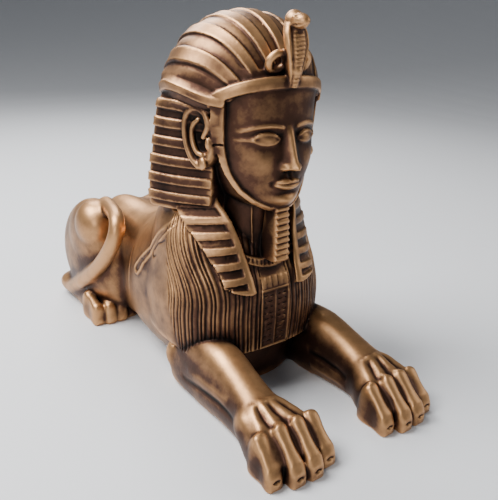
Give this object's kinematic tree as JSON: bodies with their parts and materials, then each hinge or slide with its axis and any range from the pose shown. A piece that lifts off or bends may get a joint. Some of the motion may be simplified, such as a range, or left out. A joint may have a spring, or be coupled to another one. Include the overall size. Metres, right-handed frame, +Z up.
{
  "type": "sphinx statue",
  "caption": "Table-top statue of a reclining sphinx: lion's body, human head in a striped headcloth with a rearing cobra, plaited beard, ribbed breast and outstretched forelegs.",
  "frame": {"origin": "on the underside, in the middle plane, below the shoulders", "axes": "+Z up, the sphinx faces -Y, its own right side is -X"},
  "size_m": [0.1432, 0.3272, 0.2412],
  "materials": {
    "bronze": "satin dark brown bronze patina, rubbed golden brown on the raised parts and nearly black in the hollows"
  },
  "bodies": {
    "root": {"sphinx_statue": "bronze"}
  },
  "joints": []
}
